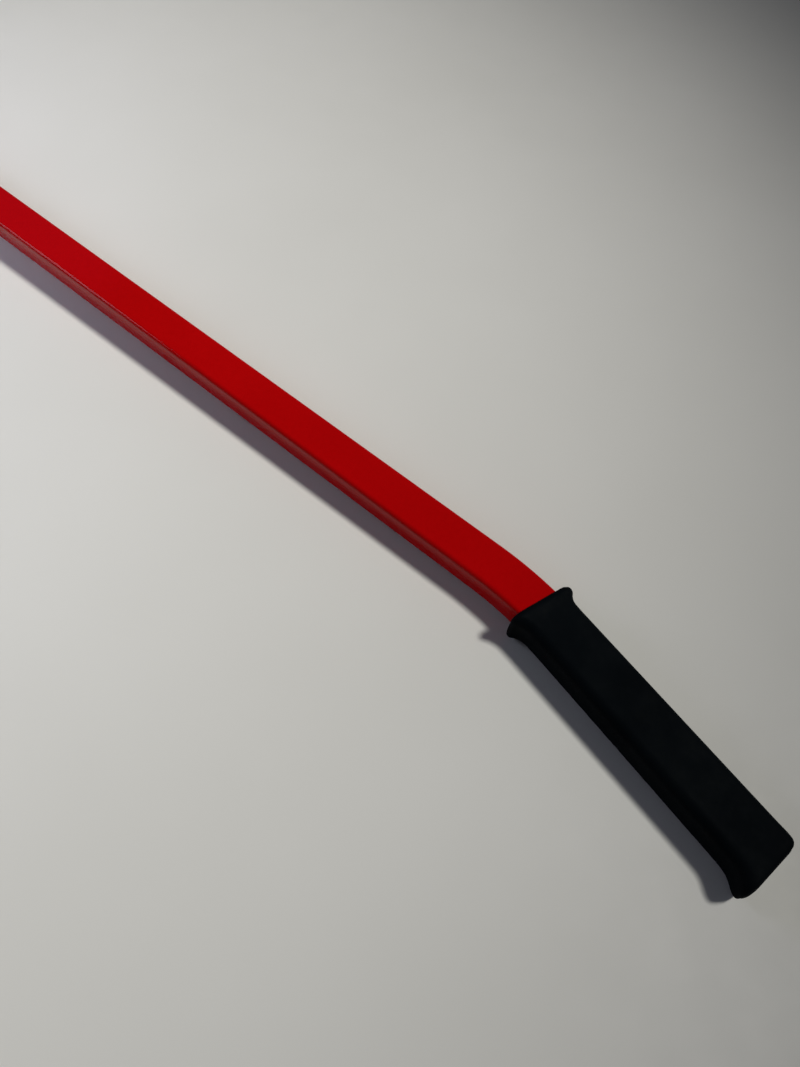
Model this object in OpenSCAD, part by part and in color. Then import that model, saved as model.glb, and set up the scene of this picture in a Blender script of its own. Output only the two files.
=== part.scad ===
// Long felling lever with a turning hook, lying on its side.
// Lengths in millimetres. The lever plane is XY: X runs from the tongue tip to
// the grip, Y is up when the lever is in use, Z is across it.

/* [Tube] */
// Depth of the rectangular tube, in the plane of the lever
tube_w = 40; // [36:1:44]
// Width of the tube across the lever plane
tube_t = 25; // [25:0.5:26]
// Outside corner radius of the tube
tube_r = 4; // [3:0.5:5]
// Wall thickness of the tube
tube_wall = 2; // [1.5:0.5:2.5]
// Distance from the tongue tip to the start of the handle bend
bend_x = 1000; // [700:10:1100]
// Radius of the handle bend at the tube's centre line
bend_r = 345; // [250:5:450]
// Angle of the handle bend
bend_a = 13.2; // [10:0.1:16]

/* [Tongue] */
// Upward kick of the tongue from the line of the tube
tongue_a = 15; // [12:0.5:17]
// Distance from the tongue tip to the heel under the tube
heel_x = 160; // [155:1:164]
// Full width of the tongue
tongue_w = 63; // [58:1:70]
// Thickness of the tongue at its tip
tip_t = 3; // [2:0.5:4]
// Thickness of the tongue behind its teeth
root_t = 18; // [17:0.5:20]
// Number of teeth across the top of the tongue
teeth = 6; // [4:1:7]
// Height of a tooth
tooth_h = 3; // [2:0.1:3.5]
// Length of the tang inside the tube
tang_l = 120; // [120:1:140]

/* [Hook] */
// Distance from the tongue tip to the hook pivot
pivot_x = 235; // [230:1:240]
// Depth of the pivot below the tube's centre line
pivot_y = 42; // [40:0.5:46]
// Thickness of the hook's eye
eye_t = 18; // [16:0.5:18.5]
// Outside radius of the hook's eye
eye_r = 17; // [15:0.5:18]
// Thickness of the hook's arm
arm_t = 14; // [12:0.5:16]
// Length of the hook along its centre line, from the pivot to the point
hook_len = 312; // [290:1:318]
// Direction in which the hook leaves its eye, from the tube's line
hook_start = 286; // [276:1:294]
// Angle through which the hook turns from its eye to its point
hook_turn = 176; // [166:1:182]
// Width of the hook's arm beside the eye
arm_w0 = 24; // [20:0.5:26]
// Width of the hook's arm before its point
arm_w1 = 15; // [12:0.5:18]
// Thickness of each cheek plate
cheek_t = 4; // [3:0.5:4]

/* [Grip] */
// Rubber thickness around the tube
grip_wall = 4.4; // [3:0.2:5]
// Length of the grip from its collar to its end
grip_l = 251; // [200:1:280]
// How far the collar reaches back over the bend
grip_back = 24; // [15:1:30]

/* [Hidden] */

// shift from the drawing frame to the part's frame: origin under the middle of the part
shift = [-651.85, 79.34, tongue_w/2];

red = [0.62, 0.01, 0.02];
zinc = [0.72, 0.73, 0.74];
black = [0.03, 0.03, 0.035];

tt2 = tube_t/2;
tang_x = heel_x + 12;                    // mouth of the tube
tang_w = tube_w - 2*tube_wall - 0.4;
tang_t = tube_t - 2*tube_wall - 0.4;
bolt_r = 5;                              // M10
bush_r = 8;
bush_clear = 0.08;
head_af = 16;
head_h = 6.4;
nut_h = 10;
washer_t = 2;
stack = tt2 + cheek_t + washer_t;        // underside of the bolt head and the nut
bolt_l = 50;
plug_x = grip_l - grip_back - 8;         // end of the tube, from the end of the bend
pivot = [pivot_x, -pivot_y];
rivet_x = [tang_x + 14, pivot_x + 42];    // one each side of the hook bracket
g0 = [bend_x + bend_r*sin(bend_a), -bend_r*(1 - cos(bend_a))];

// ---------- small helpers ----------
module place() { translate(shift) children(); }

// rounded rectangle made of true circles
module rr(w, h, r) {
  square([w - 2*r, h], center = true);
  square([w, h - 2*r], center = true);
  for (x = [-1, 1], y = [-1, 1]) translate([x*(w/2 - r), y*(h/2 - r)]) circle(r, $fn = 48);
}

// bar with the tube's path: w deep, t across, from x0 to a1 along the grip
module bent(w, t, r, x0, a1) {
  translate([x0, 0, 0]) rotate([90, 0, 90]) linear_extrude(bend_x - x0) rr(w, t, r);
  translate([bend_x, -bend_r, 0]) {
    rotate([0, 0, 90]) rotate_extrude(angle = -bend_a, $fn = 360) translate([bend_r, 0]) rr(w, t, r);
    // the stretch under the grip is drawn in by a hair where it leaves the bend
    rotate([0, 0, -bend_a]) translate([-2, bend_r, 0]) rotate([90, 0, 90]) linear_extrude(a1 + 2) rr(w - 0.04, t - 0.04, r - 0.02);
  }
}

module grip_frame() { translate([g0[0], g0[1], 0]) rotate([0, 0, -bend_a]) children(); }

function arc(c, r, a0, a1, n) = [for (i = [0:n]) c + r*[cos(a0 + (a1 - a0)*i/n), sin(a0 + (a1 - a0)*i/n)]];
function smooth(t) = t <= 0 ? 0 : t >= 1 ? 1 : t*t*(3 - 2*t);
function lerp(a, b, t) = a + (b - a)*t;

// piecewise smooth curve through a table of [position, value]
function look(tab, x, i = 0) = x <= tab[0][0] ? tab[0][1] :
  i >= len(tab) - 1 ? tab[len(tab) - 1][1] :
  x > tab[i + 1][0] ? look(tab, x, i + 1) :
  herm(tab, i, (x - tab[i][0])/(tab[i + 1][0] - tab[i][0]));
function slope(tab, i) = i <= 0 || i >= len(tab) - 1 ? 0 :
  (tab[i + 1][1] - tab[i - 1][1])/(tab[i + 1][0] - tab[i - 1][0]);
function herm(tab, i, t) = let (h = tab[i + 1][0] - tab[i][0])
  (2*t*t*t - 3*t*t + 1)*tab[i][1] + (t*t*t - 2*t*t + t)*h*slope(tab, i) +
  (-2*t*t*t + 3*t*t)*tab[i + 1][1] + (t*t*t - t*t)*h*slope(tab, i + 1);

// ---------- lever tube ----------
module lever_tube() {
  color(red) difference() {
    bent(tube_w, tube_t, tube_r, tang_x, plug_x);
    bent(tube_w - 2*tube_wall, tube_t - 2*tube_wall, tube_r - tube_wall, tang_x - 1, plug_x + 1);
    for (x = rivet_x) translate([x, 0, 0]) cylinder(r = 4.05, h = tube_t + 10, center = true, $fn = 64);
  }
}

// ---------- tongue, forged in one piece with its tang ----------
function tip_y() = -tube_w/2 + heel_x*tan(tongue_a);
// from the tongue's own (u along the underside from the tip, v up) to XY
function tg(u, v) = [u*cos(tongue_a) + v*sin(tongue_a), tip_y() - u*sin(tongue_a) + v*cos(tongue_a)];
u_root = 114;
function v_top(u) = lerp(tip_t, root_t, pow(u/u_root, 0.92));
u_t0 = 56;
pitch = (u_root - u_t0 - 2)/teeth;
function tooth(k) = let (a = u_t0 + k*pitch)
  [[a, v_top(a)], [a + 0.70*pitch, v_top(a + 0.70*pitch) + tooth_h*0.86], [a + 0.86*pitch, v_top(a + 0.86*pitch) + tooth_h]];
top_uv = concat([[0, 1.2], [0.6, tip_t*0.82], [1.6, tip_t]],
                [for (u = [10:9:u_t0 - 3]) [u, v_top(u)]],
                [for (k = [0:teeth - 1], p = tooth(k)) p],
                [[u_root - 2, v_top(u_root - 2)], [u_root, root_t]]);
top_xy = [for (p = top_uv) tg(p[0], p[1])];
sh0 = tg(u_root, root_t);
sh1 = [heel_x + 1, tube_w/2];
shoulder = [for (i = [1:10]) let (t = i/10)
  [lerp(sh0[0], sh1[0], t), sh0[1] + (sh1[1] - sh0[1])*smooth(t) - 3.2*t*(1 - t)*(1 - t)]];
heel_tan = 34*tan(tongue_a/2);
heel_arc = arc([heel_x + heel_tan, -tube_w/2 + 34], 34, 270, 270 - tongue_a, 5);

module tongue_side() {
  polygon(concat(top_xy, shoulder, [[heel_x + 6, tube_w/2], [heel_x + 6, -tube_w/2]], heel_arc,
                 [tg(0.8, 0)]));
}
function half_w(x) = x < 22 ? tongue_w/2 - 11 + 11*sqrt(1 - pow(1 - x/22, 2)) :
  x < 84 ? tongue_w/2 : lerp(tongue_w/2, tt2, smooth((x - 84)/(heel_x - 8 - 84)));
plan_x = concat([0, 0.5, 1.5, 3, 5, 8, 12, 17, 22], [for (x = [84:5.2:heel_x - 7.9]) x], [heel_x + 6]);
module tongue_plan() {
  polygon(concat([for (x = plan_x) [x, half_w(x)]],
                 [for (i = [len(plan_x) - 1:-1:0]) [plan_x[i], -half_w(plan_x[i])]]));
}
module tongue() {
  color(red) difference() {
    union() {
      intersection() {
        linear_extrude(tongue_w + 10, center = true) tongue_side();
        translate([0, 80, 0]) rotate([90, 0, 0]) linear_extrude(160) tongue_plan();
      }
      translate([heel_x + 2, 0, 0]) rotate([90, 0, 90]) linear_extrude(tang_x - heel_x - 2) rr(tube_w, tube_t, tube_r);
      translate([tang_x - 1, 0, 0]) rotate([90, 0, 90]) linear_extrude(tang_l + 1) rr(tang_w, tang_t, 2);
    }
    for (x = rivet_x) translate([x, 0, 0]) cylinder(r = 4.05, h = tube_t + 10, center = true, $fn = 64);
    // the sharp corners of the forging stop at the rounded root
    translate([heel_x + 2, 0, 0]) rotate([90, 0, 90]) linear_extrude(5) difference() {
      square([tube_w + 20, tube_t + 20], center = true);
      rr(tube_w, tube_t, tube_r);
    }
  }
}

// weld bead around the joint of tongue and tube
module ring(grow, len) {
  translate([tang_x - len/2, 0, 0]) rotate([90, 0, 90]) linear_extrude(len) difference() {
    rr(tube_w + 2*grow, tube_t + 2*grow, tube_r + grow);
    rr(tube_w, tube_t, tube_r);
  }
}
module tongue_weld() {
  color(red) union() { ring(0.9, 8); ring(1.7, 5); }
}

// two rivets through tube and tang, with domed heads
module tang_rivets() {
  color(red) for (x = rivet_x) translate([x, 0, 0]) {
    cylinder(r = 4, h = tube_t + 0.4, center = true, $fn = 64);
    for (s = [-1, 1]) intersection() {
      translate([0, 0, s*(tt2 + 3 - 8.2)]) sphere(8.2, $fn = 96);
      translate([0, 0, s*(tt2 + 2)]) cube([20, 20, 4], center = true);
    }
  }
}

// ---------- hook bracket ----------
// hull of three circles, drawn with its own tangent lines
cheek_c = [[pivot_x - 22, 6], [pivot_x + 22, 6], pivot];
cheek_rad = [7, 7, 16];
function tan_pts(c1, r1, c2, r2) = let (d = c2 - c1, l = norm(d), a = atan2(d[1], d[0]), b = acos((r1 - r2)/l))
  [c1 + r1*[cos(a - b), sin(a - b)], c2 + r2*[cos(a - b), sin(a - b)]];
module cheek_outline(g = 0) {
  t1 = tan_pts(cheek_c[0], cheek_rad[0] + g, pivot, cheek_rad[2] + g);
  t2 = tan_pts(pivot, cheek_rad[2] + g, cheek_c[1], cheek_rad[1] + g);
  t3 = tan_pts(cheek_c[1], cheek_rad[1] + g, cheek_c[0], cheek_rad[0] + g);
  polygon([t1[0], t1[1], t2[0], t2[1], t3[0], t3[1]]);
  for (i = [0:2]) translate(cheek_c[i]) circle(cheek_rad[i] + g, $fn = 96);
}
module cheek() {
  difference() {
    linear_extrude(cheek_t) cheek_outline();
    translate([pivot_x, -pivot_y, -1]) cylinder(r = bolt_r + 0.1, h = cheek_t + 2, $fn = 64);
  }
}
module upper_cheek() { color(red) translate([0, 0, tt2]) cheek(); }
module lower_cheek() { color(red) translate([0, 0, -tt2]) mirror([0, 0, 1]) cheek(); }

module cheek_bead() {
  intersection() {
    union() {
      linear_extrude(1.6) difference() { cheek_outline(3); cheek_outline(0); }
      linear_extrude(2.9) difference() { cheek_outline(1.7); cheek_outline(0); }
    }
    translate([pivot_x - 60, -tube_w/2 + tube_r, -1]) cube([120, tube_w - 2*tube_r, 10]);
  }
}
module upper_cheek_weld() { color(red) translate([0, 0, tt2]) cheek_bead(); }
module lower_cheek_weld() { color(red) translate([0, 0, -tt2]) mirror([0, 0, 1]) cheek_bead(); }

// ---------- pivot hardware ----------
module washer(ro, ri, t) {
  difference() {
    cylinder(r = ro, h = t, $fn = 96);
    translate([0, 0, -1]) cylinder(r = ri, h = t + 2, $fn = 96);
  }
}
module at_pivot(z) { translate([pivot_x, -pivot_y, z]) children(); }
module pivot_bush() { color(zinc) at_pivot(-tt2) washer(bush_r, bolt_r + 0.1, tube_t); }
module upper_spacer() { color(zinc) at_pivot(tt2 - 3.1) washer(15, bush_r + 0.4, 3); }
module lower_spacer() { color(zinc) at_pivot(-tt2 + 0.1) washer(15, bush_r + 0.4, 3); }
module head_washer() { color(zinc) at_pivot(tt2 + cheek_t) washer(10, bolt_r + 0.25, washer_t); }
module nut_washer() { color(zinc) at_pivot(-stack) washer(10, bolt_r + 0.25, washer_t); }

module hex(af, h) {
  intersection() {
    cylinder(r = af/2/cos(30), h = h, $fn = 6);
    cylinder(r1 = af/2*1.155 + h*1.7, r2 = af/2*0.97, h = h, $fn = 96);
  }
}
module pivot_bolt() {
  color(zinc) at_pivot(stack) union() {
    hex(head_af, head_h);
    translate([0, 0, -bolt_l + 1.2]) cylinder(r = bolt_r, h = bolt_l - 1.1, $fn = 64);
    translate([0, 0, -bolt_l]) cylinder(r1 = bolt_r - 1.1, r2 = bolt_r, h = 1.2, $fn = 64);
  }
}
module lock_nut() {
  color(zinc) at_pivot(-stack) mirror([0, 0, 1]) difference() {
    union() {
      hex(head_af, 6.6);
      cylinder(r = 7.3, h = nut_h, $fn = 96);
    }
    translate([0, 0, -1]) cylinder(r = bolt_r + 0.05, h = nut_h + 2, $fn = 64);
    translate([0, 0, 7]) cylinder(r = 6.3, h = nut_h, $fn = 64);
  }
}
module nut_insert() {
  color([0.85, 0.87, 0.9]) at_pivot(-stack - 7) mirror([0, 0, 1]) washer(6.25, bolt_r - 0.08, 2.4);
}

// ---------- turning hook ----------
// its centre line leaves the eye, runs nearly straight and then turns tighter towards the point
hook_n = 46;
hook_ds = hook_len/hook_n;
function hook_bend(t) = t < 0.22 ? lerp(0.42, 1.16, smooth(t/0.22)) : lerp(1.16, 0.92, smooth((t - 0.5)/0.5));
hook_sum = [for (i = 0, s = 0; i <= hook_n; s = s + hook_bend((i + 0.5)/hook_n), i = i + 1) s];
hook_dir = [for (s = hook_sum) hook_start - hook_turn*s/hook_sum[hook_n]];
hook_line = [for (i = 0, p = pivot; i <= hook_n;
                  p = p + hook_ds*[cos((hook_dir[i] + hook_dir[min(i + 1, hook_n)])/2), sin((hook_dir[i] + hook_dir[min(i + 1, hook_n)])/2)],
                  i = i + 1) p];
function arm_w(t) = t < 0.8 ? lerp(arm_w0, arm_w1, smooth(t/0.8)) : lerp(arm_w1, 2.4, pow((t - 0.8)/0.2, 1.35));
function arm_c(t) = t < 0.8 ? 0 : -0.22*(arm_w1 - arm_w(t));
function hook_pt(i, s) = hook_line[i] + (arm_c(i/hook_n) + s*arm_w(i/hook_n)/2)*[-sin(hook_dir[i]), cos(hook_dir[i])];
hook_tip = hook_line[hook_n];
tip_dir = hook_dir[hook_n];
module cant_hook() {
  color(red) difference() {
    union() {
      linear_extrude(arm_t, center = true) polygon(concat(
        [for (i = [0:hook_n]) hook_pt(i, 1)],
        [hook_tip + [cos(tip_dir), sin(tip_dir)]*0.8],
        [for (i = [hook_n:-1:0]) hook_pt(i, -1)]));
      at_pivot(-eye_t/2) cylinder(r = eye_r, h = eye_t, $fn = 96);
    }
    at_pivot(-eye_t) cylinder(r = bush_r + bush_clear, h = 2*eye_t, $fn = 96);
    // the point is drawn thin across the hook too
    translate([hook_tip[0], hook_tip[1], 0]) rotate([0, 0, tip_dir - 90]) for (s = [0, 1]) mirror([0, 0, s])
      translate([-30, 0, 0]) rotate([90, 0, 90]) linear_extrude(60)
        polygon([[3, 0.8], [-46, arm_t/2 + 0.01], [-46, arm_t/2 + 12], [3, arm_t/2 + 12]]);
  }
}

// ---------- grip and plug ----------
s1 = grip_l - grip_back;
// half widths of the grip along its length: far side, near side with heel, and across
gw = tube_w/2 + grip_wall;
gt = tt2 + grip_wall - 0.4;
// rounded lip at the mouth, [distance from the rim, height above the plain grip]
far_lip = [[0, 3.6], [1.6, 5], [4.4, 5.4], [7.4, 4.6], [10.5, 2.4], [15, 0.5], [22, 0.1], [30, 0]];
near_lip = [[0, 4.3], [1.6, 5.8], [4.4, 5.8], [7.4, 3.4], [10.5, 1.9], [15, 0.5], [22, 0.1], [30, 0]];
top_lip = [[0, 1], [1.6, 2.2], [4.4, 2.7], [7.4, 2.1], [10.5, 1.2], [15, 0.5], [22, 0.1], [30, 0]];
// run-out at the closed end, [distance from the end, height above the plain grip]
far_out = [[13, 0], [8, -0.1], [4, -0.5], [1.3, -2.4], [0, -5.6]];
near_out = [[24, 0], [19, 0.5], [15, 1.6], [11.5, 3.9], [8, 6.7], [4.8, 8.7], [2, 8.7], [0, 6.2]];
top_out = [[22, 0], [9, 0.4], [3.6, -0.3], [1.2, -2], [0, -4.4]];
function along(lip, out, base) = concat([for (p = lip) [p[0] - grip_back, base + p[1]]], [for (p = out) [s1 - p[0], base + p[1]]]);
far_tab = along(far_lip, far_out, gw);
near_tab = along(near_lip, near_out, gw);
z_tab = along(top_lip, top_out, gt);
// the rim and the closed end lean a little from square
rim_shift = 0.5;
rim_lean = 0.08;
end_shift = -0.5;
end_lean = -0.04;
function lean(s, y) = (1 - smooth((s + grip_back)/30))*(rim_shift + rim_lean*y) + smooth((s - s1 + 30)/30)*(end_shift + end_lean*y);
grip_s = concat([for (a = [0, 0.5, 1.6, 3, 4.4, 5.9, 7.4, 9, 10.5, 12.5, 15, 18, 22, 26]) a - grip_back],
                [for (i = [0:5]) lerp(-grip_back + 32, s1 - 48, i/5)],
                [for (d = [38, 30, 24, 21, 18.5, 16.5, 14.5, 12.5, 10.5, 8.7, 7, 5.6, 4.4, 3.4, 2.4, 1.5, 0.8, 0.3, 0]) s1 - d]);
nr = 8; // points around each corner
// the near side is rounder where the heel swells out below the top face
function grip_ring(s) = let (yf = look(far_tab, s), yn = look(near_tab, s), z = look(z_tab, s), r = min(8.5, z*0.52),
    q = s < s1 - 60 ? r : min(r + 0.55*max(0, yn - gw), z*0.8))
  [for (p = concat([for (i = [0:nr]) [yf - r + r*sin(90*i/nr), z - r + r*cos(90*i/nr)]],
                   [for (i = [0:nr]) [yf - r + r*cos(90*i/nr), -z + r - r*sin(90*i/nr)]],
                   [for (i = [0:nr]) [-yn + q - q*sin(90*i/nr), -z + q - q*cos(90*i/nr)]],
                   [for (i = [0:nr]) [-yn + q - q*cos(90*i/nr), z - q + q*sin(90*i/nr)]]))
    [s + lean(s, p[0]), p[0], p[1]]];
rn = 4*(nr + 1);
module grip_skin() {
  m = len(grip_s);
  pts = concat([for (s = grip_s) each grip_ring(s)]);
  polyhedron(points = pts, faces = concat(
    [[for (i = [0:rn - 1]) i]],
    [[for (i = [rn - 1:-1:0]) (m - 1)*rn + i]],
    [for (k = [0:m - 2], i = [0:rn - 1]) [k*rn + i, (k + 1)*rn + i, (k + 1)*rn + (i + 1)%rn, k*rn + (i + 1)%rn]]),
    convexity = 6);
}
module grip() {
  color(black) difference() {
    grip_frame() grip_skin();
    bent(tube_w + 0.1, tube_t + 0.1, tube_r + 0.05, bend_x - 40, s1 - 5.4);
  }
}
module tube_plug() {
  color([0.12, 0.12, 0.13]) grip_frame() {
    translate([plug_x, 0, 0]) rotate([90, 0, 90]) linear_extrude(2.4) rr(tube_w, tube_t, tube_r);
    translate([plug_x - 22, 0, 0]) rotate([90, 0, 90]) linear_extrude(22.2) difference() {
      rr(tang_w, tang_t, 2);
      rr(tang_w - 5, tang_t - 5, 1.5);
    }
  }
}

place() lever_tube();
place() tongue();
place() tongue_weld();
place() tang_rivets();
place() upper_cheek();
place() lower_cheek();
place() upper_cheek_weld();
place() lower_cheek_weld();
place() pivot_bush();
place() upper_spacer();
place() lower_spacer();
place() cant_hook();
place() pivot_bolt();
place() head_washer();
place() nut_washer();
place() lock_nut();
place() nut_insert();
place() tube_plug();
place() grip();
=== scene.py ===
import math

import bmesh
import bpy
import numpy as np
from mathutils import Matrix, Vector, noise


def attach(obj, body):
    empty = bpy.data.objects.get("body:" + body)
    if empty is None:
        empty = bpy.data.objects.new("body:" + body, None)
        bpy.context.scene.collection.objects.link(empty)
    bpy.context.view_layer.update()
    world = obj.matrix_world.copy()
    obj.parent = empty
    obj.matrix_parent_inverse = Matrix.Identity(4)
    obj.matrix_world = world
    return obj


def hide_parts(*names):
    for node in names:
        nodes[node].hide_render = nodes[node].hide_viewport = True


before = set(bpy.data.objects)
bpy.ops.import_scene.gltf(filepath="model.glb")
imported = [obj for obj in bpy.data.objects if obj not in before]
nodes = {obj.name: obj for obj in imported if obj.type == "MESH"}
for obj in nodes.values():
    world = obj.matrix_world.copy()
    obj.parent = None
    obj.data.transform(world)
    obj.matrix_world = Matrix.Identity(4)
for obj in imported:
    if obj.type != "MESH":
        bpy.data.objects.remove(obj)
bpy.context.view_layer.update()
scene = bpy.context.scene

# ------------------------------------------------------------------ sizes (millimetres, drawing frame)
TUBE_W, TUBE_T, TUBE_R, WALL = 40.0, 25.0, 4.0, 2.0
BEND_X, BEND_R, BEND_A = 1000.0, 345.0, math.radians(13.2)
TONGUE_W, HEEL_X, TONGUE_A = 63.0, 160.0, math.radians(15.0)
TANG_X = HEEL_X + 12.0
TANG_L = 120.0
PIVOT = np.array([235.0, -42.0])
TT2 = TUBE_T / 2
CHEEK_T, WASHER_T = 4.0, 2.0
STACK = TT2 + CHEEK_T + WASHER_T
BOLT_R, BUSH_R = 5.0, 8.0
GRIP_L, GRIP_BACK, GRIP_WALL = 251.0, 24.0, 4.4
S1 = GRIP_L - GRIP_BACK
PLUG_X = S1 - 8.0
RIVETS = (TANG_X + 14.0, PIVOT[0] + 42.0)
SHIFT = np.array([-651.85, 79.34, TONGUE_W / 2])
G0 = np.array([BEND_X + BEND_R * math.sin(BEND_A), -BEND_R * (1 - math.cos(BEND_A))])


def to_part(p):
    """Drawing frame in millimetres to the part's frame in metres."""
    return (np.asarray(p, float) + SHIFT) / 1000.0


# ------------------------------------------------------------------ mesh helpers
def new_object(name, verts, faces, smooth=True, sharp=32.0):
    me = bpy.data.meshes.new(name)
    me.from_pydata([tuple(map(float, v)) for v in verts], [], [tuple(map(int, f)) for f in faces])
    me.validate()
    me.update()
    ob = bpy.data.objects.new(name, me)
    scene.collection.objects.link(ob)
    finish_mesh(ob, smooth, sharp)
    return ob


def finish_mesh(ob, smooth=True, sharp=32.0):
    me = ob.data
    bm = bmesh.new()
    bm.from_mesh(me)
    bmesh.ops.recalc_face_normals(bm, faces=bm.faces)
    bm.to_mesh(me)
    bm.free()
    me.polygons.foreach_set("use_smooth", [bool(smooth)] * len(me.polygons))
    if smooth and sharp:
        me.set_sharp_from_angle(angle=math.radians(sharp))
    me.update()


def loft(loops, ring=False, caps=(True, True)):
    """Vertices and faces through a row of loops with the same number of points."""
    n, m = len(loops[0]), len(loops)
    verts = np.concatenate([np.asarray(l, float) for l in loops])
    faces = []
    last = m if ring else m - 1
    for k in range(last):
        a, b = k * n, ((k + 1) % m) * n
        for i in range(n):
            j = (i + 1) % n
            faces.append((a + i, b + i, b + j, a + j))
    if not ring:
        if caps[0]:
            faces.append(tuple(range(n)))
        if caps[1]:
            faces.append(tuple((m - 1) * n + i for i in range(n - 1, -1, -1)))
    return verts, faces


def merge(parts):
    verts, faces, off = [], [], 0
    for v, f in parts:
        verts.append(np.asarray(v, float))
        faces += [tuple(i + off for i in face) for face in f]
        off += len(v)
    return np.concatenate(verts), faces


def baked(ob):
    """The object's mesh with its modifiers applied."""
    bpy.context.view_layer.update()
    dg = bpy.context.evaluated_depsgraph_get()
    me = bpy.data.meshes.new_from_object(ob.evaluated_get(dg))
    ob.modifiers.clear()
    old = ob.data
    ob.data = me
    bpy.data.meshes.remove(old)
    return ob


def cut(ob, tools, op="DIFFERENCE"):
    for t in tools:
        m = ob.modifiers.new("cut", "BOOLEAN")
        m.operation, m.solver, m.object = op, "EXACT", t
        baked(ob)
        me = t.data
        bpy.data.objects.remove(t)
        bpy.data.meshes.remove(me)
    return ob


def weld_close(ob, dist):
    bm = bmesh.new()
    bm.from_mesh(ob.data)
    bmesh.ops.remove_doubles(bm, verts=bm.verts, dist=dist)
    bmesh.ops.dissolve_degenerate(bm, edges=bm.edges, dist=dist)
    bm.to_mesh(ob.data)
    bm.free()
    return ob


def coords(ob):
    co = np.empty(len(ob.data.vertices) * 3)
    ob.data.vertices.foreach_get("co", co)
    return co.reshape(-1, 3)


def set_coords(ob, co):
    ob.data.vertices.foreach_set("co", np.ascontiguousarray(co, dtype=np.float32).ravel())
    ob.data.update()


def normals(ob):
    no = np.empty(len(ob.data.vertices) * 3)
    ob.data.vertices.foreach_get("normal", no)
    return no.reshape(-1, 3)


# value noise on a lattice, the same every run
def _hash(ix, iy, iz, seed):
    with np.errstate(over="ignore"):
        h = (ix.astype(np.int64) * 374761393 + iy.astype(np.int64) * 668265263
             + iz.astype(np.int64) * 2147483647 + seed * 1274126177)
        h = (h ^ (h >> 13)) * 1103515245
        h = h ^ (h >> 16)
    return (h & 0xFFFFFF) / float(0xFFFFFF)


def vnoise(p, scale, seed=0):
    """Smooth noise from -1 to 1 at points p (n x 3), with features of the size `scale`."""
    q = np.asarray(p, float) / scale + 1000.0
    i = np.floor(q)
    f = q - i
    f = f * f * f * (f * (f * 6 - 15) + 10)
    i = i.astype(np.int64)
    out = 0.0
    for dx in (0, 1):
        for dy in (0, 1):
            for dz in (0, 1):
                w = ((f[:, 0] if dx else 1 - f[:, 0]) * (f[:, 1] if dy else 1 - f[:, 1])
                     * (f[:, 2] if dz else 1 - f[:, 2]))
                out = out + w * _hash(i[:, 0] + dx, i[:, 1] + dy, i[:, 2] + dz, seed)
    return out * 2 - 1


def circle(c, r, n, a0=0.0):
    a = a0 + np.arange(n) * 2 * math.pi / n
    return np.stack([c[0] + r * np.cos(a), c[1] + r * np.sin(a)], 1)


def rr_loop(w, t, r, nc=12, flats=()):
    """Rounded rectangle, w along the first axis and t along the second, with support points on the flats."""
    pts = []
    hw, ht = w / 2, t / 2
    corners = [((hw - r, ht - r), 0), ((-hw + r, ht - r), 90), ((-hw + r, -ht + r), 180), ((hw - r, -ht + r), 270)]
    for k, (c, a0) in enumerate(corners):
        for i in range(nc + 1):
            a = math.radians(a0 + 90.0 * i / nc)
            pts.append((c[0] + r * math.cos(a), c[1] + r * math.sin(a)))
        nxt = corners[(k + 1) % 4]
        a = math.radians(a0 + 90.0)
        p0 = np.array([c[0] + r * math.cos(a), c[1] + r * math.sin(a)])
        p1 = np.array([nxt[0][0] + r * math.cos(a), nxt[0][1] + r * math.sin(a)])
        length = np.linalg.norm(p1 - p0)
        stops = sorted({s for f in flats for s in (f / length, 1 - f / length)} | {0.5})
        for s in stops:
            if 0 < s < 1:
                pts.append(tuple(p0 + (p1 - p0) * s))
    return np.array(pts)


def lathe(profile, centre, z0, n=96, sign=1.0, hole=True, radius=None, phase=0.0):
    """Turned piece: profile is [(r, z), ...]; radius(angle, r, z) may change a point's radius."""
    a = phase + np.arange(n) * 2 * math.pi / n
    loops = []
    for r, z in profile:
        rad = np.full(n, float(r)) if radius is None else radius(a, r, z)
        zz = np.full(n, float(z)) if not callable(z) else z(a)
        loops.append(np.stack([centre[0] + rad * np.cos(a), centre[1] + rad * np.sin(a), z0 + sign * zz], 1))
    return loft(loops, ring=hole)


def mm_object(name, parts, **kw):
    v, f = merge(parts) if isinstance(parts, list) else parts
    return new_object(name, to_part(v), f, **kw)


# ------------------------------------------------------------------ the tube's path
def path_at(u):
    """Point and direction on the centre line, u millimetres from the tongue tip."""
    if u <= BEND_X:
        return np.array([u, 0.0]), 0.0
    t = (u - BEND_X) / BEND_R
    if t <= BEND_A:
        return np.array([BEND_X + BEND_R * math.sin(t), -BEND_R + BEND_R * math.cos(t)]), -t
    s = u - BEND_X - BEND_R * BEND_A
    return G0 + s * np.array([math.cos(BEND_A), -math.sin(BEND_A)]), -BEND_A


U_G0 = BEND_X + BEND_R * BEND_A


def sweep_loop(section, u):
    p, a = path_at(u)
    x = p[0] - math.sin(a) * section[:, 0]
    y = p[1] + math.cos(a) * section[:, 0]
    return np.stack([x, y, section[:, 1]], 1)


def stations(a, b):
    us = [a]
    x = a
    while x + 24 < min(b, BEND_X - 6):
        x += 24
        us.append(x)
    if b > BEND_X:
        us += [BEND_X - 4]
        us += list(np.linspace(BEND_X, min(b, U_G0), 56))
        if b > U_G0:
            us += [U_G0 + 4] + list(np.linspace(U_G0 + 24, b, 8))
    elif us[-1] < b:
        us.append(b)
    return us


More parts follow.
